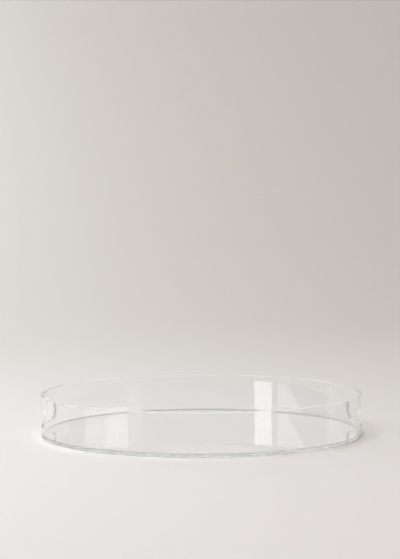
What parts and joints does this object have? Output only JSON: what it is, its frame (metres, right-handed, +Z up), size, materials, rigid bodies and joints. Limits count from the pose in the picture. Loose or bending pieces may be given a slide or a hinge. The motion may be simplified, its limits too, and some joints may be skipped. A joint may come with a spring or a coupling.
{
  "type": "vanity tray",
  "caption": "Round clear acrylic vanity tray: a flat floor disc, a low upright wall and two stadium-shaped hand slots cut through opposite sides of the wall.",
  "frame": {"origin": "centre of the underside of the floor disc, on the surface that the tray stands on", "axes": "+Z up, out of the tray's open top; +X and -X through the middles of the two hand slots"},
  "size_m": [0.35, 0.35, 0.045],
  "materials": {
    "clear_acrylic": "polished",
    "acrylic_cement": "gloss"
  },
  "bodies": {
    "root": {"floor_disc": "clear_acrylic", "wall_ring": "clear_acrylic", "joint_cement": "acrylic_cement"}
  },
  "joints": []
}
